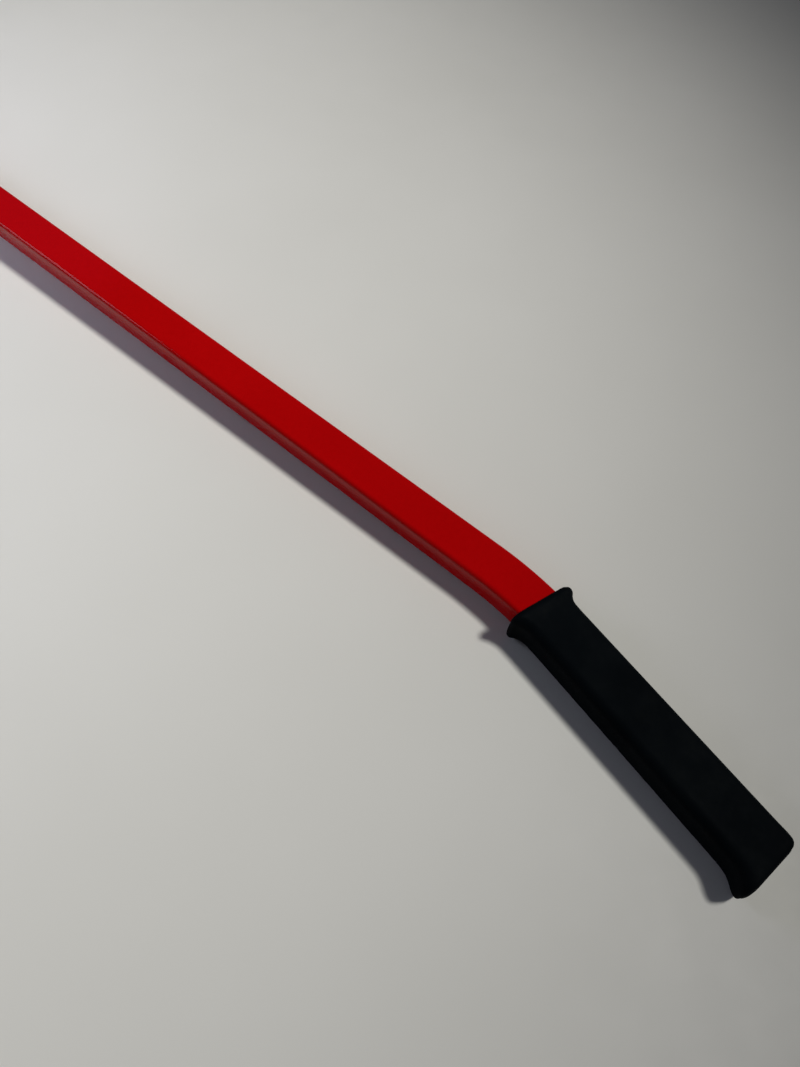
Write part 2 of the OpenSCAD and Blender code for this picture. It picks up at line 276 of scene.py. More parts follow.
# ------------------------------------------------------------------ lever tube
def make_tube():
    us = stations(TANG_X, U_G0 + PLUG_X)
    us = [us[0], us[0] + 0.25] + us[1:-1] + [us[-1] - 0.25, us[-1]]
    outer = rr_loop(TUBE_W, TUBE_T, TUBE_R, 14, flats=(0.35, 1.4))
    inner = rr_loop(TUBE_W - 2 * WALL, TUBE_T - 2 * WALL, TUBE_R - WALL, 14, flats=(0.35, 1.4))
    soft = rr_loop(TUBE_W - 0.3, TUBE_T - 0.3, TUBE_R - 0.15, 14, flats=(0.35, 1.4))
    loops = [sweep_loop(soft, us[0])] + [sweep_loop(outer, u) for u in us[1:-1]] + [sweep_loop(soft, us[-1])]
    loops += [sweep_loop(inner, u) for u in reversed(us)]
    ob = mm_object("tube_skin", loft(loops, ring=True), sharp=40)
    tools = []
    for x in RIVETS:
        v, f = lathe([(4.05, -20), (4.05, 20)], (x, 0), 0, n=64, hole=False)
        tools.append(mm_object("hole", (v, f)))
    cut(ob, tools)
    finish_mesh(ob, sharp=40)
    return ob


# ------------------------------------------------------------------ grip
GW = TUBE_W / 2 + GRIP_WALL
GT = TT2 + GRIP_WALL - 0.4
GB = GRIP_BACK
# rounded lip at the mouth and run-out at the closed end, over the plain grip
FAR_LIP = [(0, 3.6), (1.6, 5), (4.4, 5.4), (7.4, 4.6), (10.5, 2.4), (15, 0.5), (22, 0.1), (30, 0)]
NEAR_LIP = [(0, 4.3), (1.6, 5.8), (4.4, 5.8), (7.4, 3.4), (10.5, 1.9), (15, 0.5), (22, 0.1), (30, 0)]
TOP_LIP = [(0, 1), (1.6, 2.2), (4.4, 2.7), (7.4, 2.1), (10.5, 1.2), (15, 0.5), (22, 0.1), (30, 0)]
FAR_OUT = [(13, 0), (8, -0.1), (4, -0.5), (1.3, -2.4), (0, -5.6)]
NEAR_OUT = [(24, 0), (19, 0.5), (15, 1.6), (11.5, 3.9), (8, 6.7), (4.8, 8.7), (2, 8.7), (0, 6.2)]
TOP_OUT = [(22, 0), (9, 0.4), (3.6, -0.3), (1.2, -2), (0, -4.4)]


def along(lip, out, base):
    return [(a - GB, base + h) for a, h in lip] + [(S1 - d, base + h) for d, h in out]


FAR, NEAR, ZT = along(FAR_LIP, FAR_OUT, GW), along(NEAR_LIP, NEAR_OUT, GW), along(TOP_LIP, TOP_OUT, GT)


def smooth(t):
    t = min(1.0, max(0.0, t))
    return t * t * (3 - 2 * t)


def lean(s, y):
    """The rim and the closed end lean a little from square."""
    return (1 - smooth((s + GB) / 30)) * (0.5 + 0.08 * y) + smooth((s - S1 + 30) / 30) * (-0.5 - 0.04 * y)


def look(tab, x):
    if x <= tab[0][0]:
        return tab[0][1]
    if x >= tab[-1][0]:
        return tab[-1][1]
    i = max(k for k in range(len(tab) - 1) if tab[k][0] < x)

    def slope(k):
        return 0.0 if k <= 0 or k >= len(tab) - 1 else (tab[k + 1][1] - tab[k - 1][1]) / (tab[k + 1][0] - tab[k - 1][0])
    h = tab[i + 1][0] - tab[i][0]
    t = (x - tab[i][0]) / h
    return ((2 * t**3 - 3 * t * t + 1) * tab[i][1] + (t**3 - 2 * t * t + t) * h * slope(i)
            + (-2 * t**3 + 3 * t * t) * tab[i + 1][1] + (t**3 - t * t) * h * slope(i + 1))


def grip_ring(s, nc=14, inset=0.0):
    """Section of the grip at s, in its own frame, with support points on the flats."""
    yf, yn, z = look(FAR, s) - inset, look(NEAR, s) - inset, look(ZT, s) - inset
    z0 = z + inset
    r0 = min(8.5, z0 * 0.52)
    q0 = r0 if s < S1 - 60 else min(r0 + 0.55 * max(0.0, yn + inset - GW), z0 * 0.8)
    r, q = max(0.4, r0 - inset), max(0.4, q0 - inset)
    c = [((yf - r, z - r), 0, r), ((-yn + q, z - q), 90, q), ((-yn + q, -z + q), 180, q), ((yf - r, -z + r), 270, r)]
    pts = []
    for k, (o, a0, rad) in enumerate(c):
        for i in range(nc + 1):
            a = math.radians(a0 + 90.0 * i / nc)
            pts.append((o[0] + rad * math.cos(a), o[1] + rad * math.sin(a)))
        a = math.radians(a0 + 90.0)
        o2, _, rad2 = c[(k + 1) % 4]
        p0 = np.array([o[0] + rad * math.cos(a), o[1] + rad * math.sin(a)])
        p1 = np.array([o2[0] + rad2 * math.cos(a), o2[1] + rad2 * math.sin(a)])
        for t in (0.06, 0.2, 0.35, 0.5, 0.65, 0.8, 0.94):
            pts.append(tuple(p0 + (p1 - p0) * t))
    return np.array(pts)


def grip_to_drawing(s, sec):
    ca, sa = math.cos(BEND_A), math.sin(BEND_A)
    run = s + np.array([lean(s, y) for y in sec[:, 0]])
    x = G0[0] + run * ca + sec[:, 0] * sa
    y = G0[1] - run * sa + sec[:, 0] * ca
    return np.stack([x, y, sec[:, 1]], 1)


def make_grip():
    ss = list(np.arange(0, 12.01, 0.6)) + list(np.arange(13.2, 34, 1.5))
    ss = [-GB + s for s in ss]
    ss += list(np.linspace(-GB + 36, S1 - 40, 56))
    ss += list(np.arange(S1 - 37, S1 - 25, 1.5)) + list(np.arange(S1 - 24.5, S1 - 5.1, 0.6)) + list(np.arange(S1 - 5, S1 - 0.05, 0.25)) + [S1]
    loops = []
    for d, e in ((4.2, 0.0), (2.4, 0.0), (0.8, 0.0)):
        loops.append(grip_to_drawing(-GB, grip_ring(-GB, inset=d)))
    loops += [grip_to_drawing(s, grip_ring(s)) for s in ss]
    for d in (0.5, 1.6, 4.0, 6.5):
        loops.append(grip_to_drawing(S1, grip_ring(S1, inset=d)))
    skin = mm_object("grip_skin", loft(loops), sharp=50)
    us = [BEND_X - 40] + list(np.linspace(BEND_X, U_G0, 56)) + [U_G0 + 6, U_G0 + S1 - 5.4]
    pocket = mm_object("pocket", loft([sweep_loop(rr_loop(TUBE_W + 0.1, TUBE_T + 0.1, TUBE_R + 0.05, 14, flats=(0.35, 1.4)), u) for u in us]))
    cut(skin, [pocket])
    finish_mesh(skin, sharp=50)
    return skin


# ------------------------------------------------------------------ turned and plate pieces
def ring_piece(ro, ri, t, c=0.35, ci=0.25):
    """Profile of a flat ring with rounded edges, bore outwards."""
    def quarter(cx, cz, r, a0, a1, k=4):
        return [(cx + r * math.cos(math.radians(a0 + (a1 - a0) * i / k)), cz + r * math.sin(math.radians(a0 + (a1 - a0) * i / k))) for i in range(k + 1)]
    prof = [(ri, t / 2)] + [(ri, t - ci)] + quarter(ri + ci, t - ci, ci, 180, 90)[1:] + [(ri + ci + 0.25, t)]
    prof += [(ro - c - 0.3, t)] + quarter(ro - c, t - c, c, 90, 0) + [(ro, t / 2)] + quarter(ro - c, c, c, 0, -90)
    prof += [(ro - c - 0.3, 0), (ri + ci + 0.25, 0)] + quarter(ri + ci, ci, ci, 270, 180)
    return prof


def hex_radius(af):
    def f(a):
        b = (a + math.pi / 6) % (math.pi / 3) - math.pi / 6
        return (af / 2) / np.cos(b)
    return f


def hex_loops(af, h, n, chamfer_lo, chamfer_hi, z0, sign):
    """Loops of a hexagon with turned chamfers, from its lower face to its upper one."""
    hr = hex_radius(af)
    a = np.arange(n) * 2 * math.pi / n
    rad = hr(a)
    loops = []

    def loop(r, z):
        loops.append(np.stack([PIVOT[0] + r * np.cos(a), PIVOT[1] + r * np.sin(a), z0 + sign * z], 1))
    cone = math.tan(math.radians(30))
    flat = af / 2 * 0.96
    full = np.full(n, flat)
    if chamfer_lo:
        loop(full, np.zeros(n))
        loop(rad, (rad - flat) * cone)
        loop(rad, (rad - flat) * cone + 0.12)
    else:
        loop(rad - 0.12, np.zeros(n))
        loop(rad, np.full(n, 0.12))
    if chamfer_hi:
        loop(rad, h - (rad - flat) * cone - 0.12)
        loop(rad, h - (rad - flat) * cone)
        loop(full, np.full(n, h))
    else:
        loop(rad, np.full(n, h - 0.12))
        loop(rad - 0.12, np.full(n, h))
    return loops


def thread_radius(z, a, r, pitch=1.5, depth=0.82):
    f = (z / pitch + a / (2 * math.pi)) % 1.0
    tri = np.abs(f - 0.5) * 2
    return r - depth * np.clip((tri - 0.12) / 0.76, 0, 1)


def make_bolt():
    n = 120
    a = np.arange(n) * 2 * math.pi / n
    loops = []

    def loop(r, z):
        r = np.broadcast_to(r, n)
        loops.append(np.stack([PIVOT[0] + r * np.cos(a), PIVOT[1] + r * np.sin(a), np.broadcast_to(z, n)], 1))
    end, top = STACK - 50.0, STACK
    # threaded end, from its face up
    for r in (1.2, 2.4, 3.5):
        loop(r, end)
    rows = int(18 / 0.12)
    for k in range(rows + 1):
        z = end + 0.02 + k * 0.12
        lead = min(1.0, 3.75 + (z - end) * 1.05)
        r = thread_radius(z, a, 4.97)
        r = np.minimum(r, 3.75 + (z - end) * 1.02)
        run = max(0.0, (z - end - 16.2) / 1.8)
        r = r + (4.97 - r) * min(1.0, run)
        loop(r, z)
    loop(4.97, end + 20)
    for z in np.linspace(end + 22, top - 0.9, 5):
        loop(4.97, z)
    loop(5.1, top - 0.3)
    loop(5.4, top)
    loop(7.0, top)
    loop(7.55, top)
    loop(7.6, top + 0.3)
    hx = hex_loops(16.0, 6.1, n, True, True, top + 0.3, 1)
    loops += hx
    for r, z in ((7.4, 6.4), (7.0, 6.4), (6.2, 6.36), (5.6, 6.16), (5.0, 6.0), (4.4, 5.96), (2.4, 5.95), (1.0, 5.95)):
        loop(r, top + z)
    return mm_object("bolt_m10", loft(loops), sharp=28)


def make_nut():
    n = 120
    a = np.arange(n) * 2 * math.pi / n
    loops = []

    def loop(r, z):
        r = np.broadcast_to(r, n)
        loops.append(np.stack([PIVOT[0] + r * np.cos(a), PIVOT[1] + r * np.sin(a), -STACK - np.broadcast_to(z, n)], 1))
    # bore up to the insert's pocket, outwards over the collar, down the hexagon
    loop(5.75, 0.0)
    loop(5.06, 0.7)
    loop(5.06, 3.5)
    loop(5.06, 6.9)
    loop(5.4, 7.0)
    loop(6.3, 7.0)
    loop(6.3, 8.2)
    loop(6.3, 9.42)
    for r, z in ((6.05, 9.62), (6.0, 9.8), (6.12, 9.95), (6.4, 10.0), (6.75, 9.93), (7.05, 9.7), (7.22, 9.35), (7.3, 8.8), (7.3, 7.9), (7.35, 7.2), (7.55, 6.75)):
        loop(r, z)
    hx = hex_loops(16.0, 6.6, n, True, True, -STACK, -1)
    loops += list(reversed(hx))
    loop(7.2, 0.0)
    return mm_object("nut_m10", loft(loops, ring=True), sharp=28)


def make_rivets():
    parts = []
    for x in RIVETS:
        prof = []
        cz, R = 3 - 8.2, 8.2
        edge = math.acos((0.22 - cz) / R)
        top = []
        for i in range(11):
            t = edge * i / 10
            top.append((max(R * math.sin(t), 0.25), cz + R * math.cos(t)))
        r_edge = top[-1][0]
        half = top + [(r_edge + 0.02, 0.1), (r_edge - 0.12, 0.0), (4.6, 0.0), (4.0, -0.05), (4.0, -2.0)]
        prof = [(r, TT2 + z) for r, z in half] + [(4.0, 0.0)] + [(r, -TT2 - z) for r, z in reversed(half)]
        parts.append(lathe(prof, (x, 0), 0, n=72, hole=False))
    ob = mm_object("rivet_pair", parts, sharp=50)
    # a little unevenness from the setting tool
    co = coords(ob)
    z = co[:, 2] * 1000 - SHIFT[2]
    w = np.clip((np.abs(z) - TT2 - 0.6) / 1.5, 0, 1)
    d = vnoise(co * 1000, 2.6, 5) * 0.07 - 0.06
    co[:, 2] += np.sign(z) * w * d / 1000
    set_coords(ob, co)
    return ob


# outline of a cheek plate: the hull of three circles
CH_C = [np.array([PIVOT[0] - 22, 6.0]), np.array([PIVOT[0] + 22, 6.0]), PIVOT.copy()]
CH_R = [7.0, 7.0, 16.0]


def cheek_path(n=300):
    """Points and outward normals round the plate, counter-clockwise from the pivot's right tangent."""
    def tangent(c1, r1, c2, r2):
        d = c2 - c1
        l = np.linalg.norm(d)
        a = math.atan2(d[1], d[0])
        b = math.acos((r1 - r2) / l)
        return a - b
    order = [(0, 2), (2, 1), (1, 0)]
    ang = {}
    for i, j in order:
        t = tangent(CH_C[i], CH_R[i], CH_C[j], CH_R[j])
        ang[(i, j)] = t
    seq = []  # (centre, radius, from, to)
    two_pi = 2 * math.pi
    for (i, j), (j2, k) in (((0, 2), (2, 1)), ((2, 1), (1, 0)), ((1, 0), (0, 2))):
        a0, a1 = ang[(i, j)], ang[(j2, k)]
        while a1 < a0:
            a1 += two_pi
        seq.append((CH_C[j], CH_R[j], a0, a1))
    pts, nrm = [], []
    for q, (c, r, a0, a1) in enumerate(seq):
        m = max(8, int(r * (a1 - a0) / 0.9))
        for t in np.linspace(a0, a1, m + 1):
            nrm.append((math.cos(t), math.sin(t)))
            pts.append(c + r * np.array(nrm[-1]))
        c2, r2, b0, _ = seq[(q + 1) % 3]
        p0, p1 = pts[-1], c2 + r2 * np.array([math.cos(a1), math.sin(a1)])
        m = max(4, int(np.linalg.norm(p1 - p0) / 1.2))
        for t in range(1, m):
            nrm.append((math.cos(a1), math.sin(a1)))
            pts.append(p0 + (p1 - p0) * t / m)
    return np.array(pts), np.array(nrm)


def make_cheek(name, side):
    p, nv = cheek_path()
    d = p - PIVOT
    ray = d / np.linalg.norm(d, axis=1)[:, None]
    z0 = side * TT2
    e = 0.45
    rows = []

    def edge(g, z):
        rows.append(np.column_stack([p + nv * g, np.full(len(p), z0 + side * z)]))

    def hole(r, z):
        rows.append(np.column_stack([PIVOT + ray * r, np.full(len(p), z0 + side * z)]))
    T = CHEEK_T
    hole(5.1, T / 2)
    hole(5.1, T - 0.3)
    hole(5.4, T)
    hole(5.8, T)
    edge(-1.2, T)
    for i in range(5):
        a = math.radians(90 - 22.5 * i)
        edge(-e + e * math.cos(a), T - e + e * math.sin(a))
    edge(0, T * 0.55)
    edge(-0.06, T * 0.42)
    edge(0, 0.25)
    edge(-0.2, 0)
    edge(-1.2, 0)
    hole(5.8, 0)
    hole(5.4, 0)
    hole(5.1, 0.3)
    return mm_object(name, loft(rows, ring=True), sharp=40)


# ------------------------------------------------------------------ weld beads
def bead_rows(pts, out, up, section, closed):
    """Section points (a, b) laid out along a path: a along `out`, b along `up`."""
    loops = []
    for k in range(len(pts)):
        loops.append(np.array([pts[k] + out[k] * a + up[k] * b for a, b in section(k)]))
    return loft(loops, ring=closed)


def ripple(s, v, pitch, seed):
    """Height factor of a stringer bead: crescent-shaped ripples, s along the bead and v across it (-1..1)."""
    phase = (s + 1.1 * v * v * pitch) / pitch
    wob = vnoise(np.array([[s / 6.0, seed * 7.1, 0.3]]), 1.0, seed)[0]
    f = (phase + 0.25 * wob) % 1.0
    return (1 - f) ** 0.7


def make_tongue_weld():
    base = rr_loop(TUBE_W, TUBE_T, TUBE_R, 24, flats=())
    # even steps round the tube
    dist = np.concatenate([[0], np.cumsum(np.linalg.norm(np.diff(np.vstack([base, base[:1]]), axis=0), axis=1))])
    total = dist[-1]
    n = int(total / 0.42)
    loop = np.vstack([base, base[:1]])
    s = np.arange(n) * total / n
    yz = np.stack([np.interp(s, dist, loop[:, 0]), np.interp(s, dist, loop[:, 1])], 1)
    t = np.roll(yz, -2, 0) - np.roll(yz, 2, 0)
    t /= np.linalg.norm(t, axis=1)[:, None]
    nrm = np.stack([t[:, 1], -t[:, 0]], 1)
    pts = np.column_stack([np.full(n, TANG_X), yz])
    up = np.column_stack([np.zeros(n), nrm])
    out = np.tile([1.0, 0, 0], (n, 1))
    vs = np.linspace(-1, 1, 19)

    def section(k):
        wob = vnoise(np.array([[s[k] / 9.0, 3.3, 0.1]]), 1.0, 11)[0]
        shift = 0.35 * vnoise(np.array([[s[k] / 14.0, 8.3, 0.1]]), 1.0, 12)[0]
        hw = 3.45 + 0.25 * wob
        res = []
        for v in vs:
            h = 1.36 * (1 - abs(v) ** 2.3) ** 0.8 * (0.93 + 0.07 * wob)
            h += 0.26 * (ripple(s[k], v, 2.35, 3) - 0.35) * (1 - abs(v) ** 4)
            res.append((shift + hw * v, min(max(h, 0.03), 1.68)))
        res += [(shift + hw * 0.96, -0.12), (shift, -0.12), (shift - hw * 0.96, -0.12)]
        return res
    return mm_object("tongue_bead", bead_rows(pts, out, up, section, True), sharp=60)


def make_cheek_weld(name, side, seed):
    p, nv = cheek_path()
    # the stretch that lies on the tube's flat side
    k0 = int(np.argmin(p[:, 1]))
    p, nv = np.roll(p, -k0, 0), np.roll(nv, -k0, 0)
    dist = np.concatenate([[0], np.cumsum(np.linalg.norm(np.diff(p, axis=0), axis=1))])
    fine = np.arange(0, dist[-1], 0.42)
    q = np.stack([np.interp(fine, dist, p[:, 0]), np.interp(fine, dist, p[:, 1])], 1)
    m = np.stack([np.interp(fine, dist, nv[:, 0]), np.interp(fine, dist, nv[:, 1])], 1)
    m /= np.linalg.norm(m, axis=1)[:, None]
    keep = (q[:, 1] > -15.2)
    q, m = q[keep], m[keep]
    n = len(q)
    s = np.arange(n) * 0.42
    pts = np.column_stack([q, np.full(n, side * TT2)])
    out = np.column_stack([m, np.zeros(n)])
    up = np.tile([0, 0, float(side)], (n, 1))
    vs = np.linspace(0, 1, 15)

    def section(k):
        end = min(1.0, math.sqrt(max(0.0, min(s[k], s[-1] - s[k]) + 0.15) / 2.6))
        wob = vnoise(np.array([[s[k] / 8.0, 1.3, 0.7]]), 1.0, seed)[0]
        leg, high = (2.62 + 0.16 * wob) * (0.35 + 0.65 * end), (2.5 + 0.14 * wob) * (0.25 + 0.75 * end)
        res = [(-0.12, -0.12), (-0.12, high)]
        for v in vs:
            a = v * math.pi / 2
            x, y = leg * math.sin(a) ** 1.25, high * math.cos(a) ** 1.25
            bump = 0.22 * (ripple(s[k], 2 * v - 1, 2.1, seed) - 0.35) * math.sin(math.pi * v) * end
            x, y = x + bump * 0.7, y + bump * 0.7
            # never out past the tube's flat
            lim = 15.95 - (pts[k][1] if m[k][1] > 0 else -99)
            if m[k][1] > 0 and pts[k][1] + x * m[k][1] > 15.9:
                x = (15.9 - pts[k][1]) / m[k][1]
            res.append((min(x, 2.95), min(y, 2.88)))
        res.append((min(leg * 0.9, 2.6), -0.12))
        return res
    return mm_object(name, bead_rows(pts, out, up, section, False), sharp=60)


# ------------------------------------------------------------------ forgings
def copy_of(node, name):
    ob = bpy.data.objects.new(name, nodes[node].data.copy())
    scene.collection.objects.link(ob)
    ob.data.materials.clear()
    return weld_close(ob, 1e-6)


def remeshed(ob, size, smooth_it):
    m = ob.modifiers.new("voxels", "REMESH")
    m.mode, m.voxel_size, m.adaptivity = "VOXEL", size, 0.0
    s = ob.modifiers.new("soft", "SMOOTH")
    s.factor, s.iterations = 0.5, smooth_it
    return baked(ob)


def forge(ob, amount, hold=None, seed=1):
    """Scale pits and slow unevenness of a forged and blasted surface."""
    co, no = coords(ob), normals(ob)
    mm = co * 1000
    d = 0.55 * vnoise(mm, 14.0, seed) + 0.35 * vnoise(mm, 5.5, seed + 1) + 0.22 * vnoise(mm, 2.4, seed + 2)
    pits = np.clip(vnoise(mm, 3.4, seed + 3) - 0.55, 0, 1) * 1.1
    d = (d - 0.4) * amount - pits * amount * 0.9
    if hold is not None:
        d = d * hold(mm - SHIFT)
    set_coords(ob, co + no * (d / 1000)[:, None])
    return ob


def make_tongue():
    ob = copy_of("tongue", "tongue_forging")
    remeshed(ob, 0.0007, 5)

    def hold(p):  # the ground tip and the tang keep their size
        return np.clip((p[:, 0] - 4) / 14, 0.15, 1) * np.clip((TANG_X - 1 - p[:, 0]) / 4, 0, 1)
    forge(ob, 0.16, hold, 21)
    finish_mesh(ob, sharp=0)
    return ob


def make_hook():
    ob = copy_of("cant_hook", "hook_forging")
    remeshed(ob, 0.0006, 9)
    co, no = coords(ob), normals(ob)
    p = co * 1000 - SHIFT
    r = np.hypot(p[:, 0] - PIVOT[0], p[:, 1] - PIVOT[1])
    # trimmed die line along the middle of the narrow sides
    away = np.clip((r - 12) / 6, 0, 1)
    side = np.clip(1 - np.abs(no[:, 2]) * 1.6, 0, 1)
    flash = np.exp(-(p[:, 2] / 0.75) ** 2) * 0.32 * side * away
    flash = flash * (0.75 + 0.25 * vnoise(p, 7.0, 41))
    # the sides draw in from the die line outwards
    draft = -0.045 * np.abs(p[:, 2]) * side * away
    co = co + no * ((flash + draft) / 1000)[:, None]
    set_coords(ob, co)

    def hold(q):
        rr = np.hypot(q[:, 0] - PIVOT[0], q[:, 1] - PIVOT[1])
        flat = np.clip((rr - 15.2) / 3, 0, 1)
        return flat
    forge(ob, 0.17, hold, 31)
    finish_mesh(ob, sharp=0)
    return ob


# ------------------------------------------------------------------ materials
class Nodes:
    def __init__(self, name):
        self.mat = bpy.data.materials.new(name)
        self.mat.use_nodes = True
        self.nt = self.mat.node_tree
        self.nt.nodes.clear()
        self.out = self.nt.nodes.new("ShaderNodeOutputMaterial")
        self.bsdf = self.nt.nodes.new("ShaderNodeBsdfPrincipled")
        self.nt.links.new(self.bsdf.outputs["BSDF"], self.out.inputs["Surface"])
        self.tc = self.nt.nodes.new("ShaderNodeTexCoord")
        self.obj = self.tc.outputs["Object"]

    def set(self, **kw):
        for k, v in kw.items():
            self.bsdf.inputs[k.replace("_", " ")].default_value = v

    def link(self, a, b):
        self.nt.links.new(a, b)

    def node(self, kind, **kw):
        n = self.nt.nodes.new(kind)
        for k, v in kw.items():
            setattr(n, k, v)
        return n

    def noise(self, scale, detail=3.0, rough=0.5, vec=None, distort=0.0, ntype="FBM"):
        n = self.node("ShaderNodeTexNoise")
        n.noise_type = ntype
        n.inputs["Scale"].default_value = scale
        n.inputs["Detail"].default_value = detail
        n.inputs["Roughness"].default_value = rough
        n.inputs["Distortion"].default_value = distort
        self.link(vec or self.obj, n.inputs["Vector"])
        return n.outputs["Fac"]

    def cells(self, scale, feature="F1", vec=None, randomness=1.0):
        n = self.node("ShaderNodeTexVoronoi", feature=feature)
        n.inputs["Scale"].default_value = scale
        n.inputs["Randomness"].default_value = randomness
        self.link(vec or self.obj, n.inputs["Vector"])
        return n.outputs["Distance"]

    def stretch(self, sx, sy, sz, rot=(0, 0, 0)):
        n = self.node("ShaderNodeMapping")
        n.inputs["Scale"].default_value = (sx, sy, sz)
        n.inputs["Rotation"].default_value = rot
        self.link(self.obj, n.inputs["Vector"])
        return n.outputs["Vector"]

    def ramp(self, fac, stops, interp="LINEAR"):
        n = self.node("ShaderNodeValToRGB")
        n.color_ramp.interpolation = interp
        el = n.color_ramp.elements
        while len(el) > 1:
            el.remove(el[-1])
        el[0].position, el[0].color = stops[0][0], (*stops[0][1], 1) if len(stops[0][1]) == 3 else stops[0][1]
        for pos, col in stops[1:]:
            e = el.new(pos)
            e.color = (*col, 1)
        self.link(fac, n.inputs["Fac"])
        return n.outputs["Color"]

    def range(self, fac, a, b, lo=0.0, hi=1.0):
        n = self.node("ShaderNodeMapRange")
        n.clamp = True
        n.inputs["From Min"].default_value, n.inputs["From Max"].default_value = lo, hi
        n.inputs["To Min"].default_value, n.inputs["To Max"].default_value = a, b
        self.link(fac, n.inputs["Value"])
        return n.outputs["Result"]

    def math(self, op, a, b=None, clamp=False):
        n = self.node("ShaderNodeMath", operation=op)
        n.use_clamp = clamp
        for i, x in enumerate((a, b)):
            if x is None:
                continue
            if isinstance(x, (int, float)):
                n.inputs[i].default_value = x
            else:
                self.link(x, n.inputs[i])
        return n.outputs["Value"]

    def bump(self, height, distance, strength=1.0, normal=None):
        n = self.node("ShaderNodeBump")
        n.inputs["Strength"].default_value = strength
        n.inputs["Distance"].default_value = distance
        self.link(height, n.inputs["Height"])
        if normal is not None:
            self.link(normal, n.inputs["Normal"])
        return n.outputs["Normal"]

    def colour(self, x):
        self.link(x, self.bsdf.inputs["Base Color"])

    def rough(self, x):
        self.link(x, self.bsdf.inputs["Roughness"])

    def normal(self, x):
        self.link(x, self.bsdf.inputs["Normal"])


def red_paint():
    m = Nodes("tube_paint")
    m.set(IOR=1.5, Specular_IOR_Level=0.09)
    slow = m.noise(9.0, 2.0, 0.5)
    fine = m.noise(260.0, 3.0, 0.55)
    mix = m.math("ADD", m.math("MULTIPLY", slow, 0.6), m.math("MULTIPLY", fine, 0.4))
    m.colour(m.ramp(mix, [(0.3, (0.384, 0.0006, 0.0012)), (0.5, (0.412, 0.0007, 0.0014)), (0.7, (0.442, 0.0010, 0.0018))]))
    # dust nibs and faint handling marks only change the gloss
    marks = m.noise(1.0, 4.0, 0.6, vec=m.stretch(18, 420, 420))
    m.rough(m.math("ADD", m.range(m.noise(60.0, 4.0, 0.6), 0.085, 0.14, 0.3, 0.7), m.range(marks, 0.0, 0.05, 0.58, 0.72)))
    peel = m.noise(520.0, 1.5, 0.45)
    wave = m.noise(95.0, 1.0, 0.4)
    n1 = m.bump(peel, 0.000035, 0.6)
    n2 = m.bump(wave, 0.00009, 0.5, n1)
    nib = m.range(m.cells(120.0), 1.0, 0.0, 0.0, 0.055)
    m.normal(m.bump(nib, 0.00008, 0.35, n2))
    return m.mat


def forging_paint():
    m = Nodes("forging_paint")
    m.set(IOR=1.5, Specular_IOR_Level=0.22)
    slow = m.noise(22.0, 3.0, 0.6)
    m.colour(m.ramp(slow, [(0.3, (0.350, 0.0008, 0.0013)), (0.55, (0.388, 0.0010, 0.0016)), (0.75, (0.420, 0.0014, 0.0021))]))
    m.rough(m.range(m.noise(140.0, 5.0, 0.65), 0.17, 0.29, 0.3, 0.7))
    scale = m.noise(170.0, 5.0, 0.62)
    pits = m.range(m.cells(210.0), 0.0, 1.0, 0.05, 0.42)
    n1 = m.bump(scale, 0.00022, 0.55)
    n2 = m.bump(pits, 0.00008, 0.35, n1)
    m.normal(m.bump(m.noise(560.0, 1.5, 0.45), 0.00004, 0.6, n2))
    return m.mat


def bead_paint():
    m = Nodes("bead_paint")
    m.set(IOR=1.5, Specular_IOR_Level=0.22)
    slow = m.noise(60.0, 3.0, 0.6)
    m.colour(m.ramp(slow, [(0.3, (0.345, 0.0008, 0.0013)), (0.6, (0.390, 0.0010, 0.0016)), (0.8, (0.415, 0.0014, 0.0021))]))
    m.rough(m.range(m.noise(300.0, 4.0, 0.6), 0.11, 0.2, 0.3, 0.7))
    n1 = m.bump(m.noise(420.0, 4.0, 0.6), 0.00012, 0.5)
    spat = m.range(m.cells(260.0), 1.0, 0.0, 0.0, 0.16)
    m.normal(m.bump(spat, 0.00007, 0.3, n1))
    return m.mat


def zinc():
    m = Nodes("zinc_plate")
    m.set(Metallic=1.0)
    tint = m.noise(120.0, 3.0, 0.55, distort=0.6)
    m.colour(m.ramp(tint, [(0.25, (0.56, 0.60, 0.66)), (0.45, (0.66, 0.67, 0.68)), (0.62, (0.70, 0.67, 0.58)), (0.8, (0.62, 0.65, 0.70))]))
    grain = m.noise(900.0, 4.0, 0.6)
    m.rough(m.range(m.noise(230.0, 4.0, 0.6), 0.24, 0.42, 0.3, 0.72))
    # turning and tumbling marks
    turn = m.noise(1.0, 3.0, 0.6, vec=m.stretch(300, 300, 2600))
    n1 = m.bump(turn, 0.00003, 0.45)
    m.normal(m.bump(grain, 0.00002, 0.5, n1))
    return m.mat


def nylon():
    m = Nodes("nylon")
    m.set(IOR=1.53)
    m.colour(m.ramp(m.noise(400.0, 3.0, 0.5), [(0.3, (0.60, 0.66, 0.74)), (0.7, (0.70, 0.75, 0.82))]))
    m.rough(m.range(m.noise(700.0, 3.0, 0.5), 0.34, 0.5, 0.3, 0.7))
    m.normal(m.bump(m.noise(900.0, 3.0, 0.5), 0.00003, 0.5))
    return m.mat


def plug_plastic():
    m = Nodes("plug_plastic")
    m.set(IOR=1.49)
    m.colour(m.ramp(m.noise(300.0, 3.0, 0.5), [(0.3, (0.016, 0.016, 0.018)), (0.7, (0.026, 0.026, 0.028))]))
    m.rough(m.range(m.noise(500.0, 3.0, 0.5), 0.42, 0.58, 0.3, 0.7))
    m.normal(m.bump(m.cells(1500.0), 0.00003, 0.5))
    return m.mat


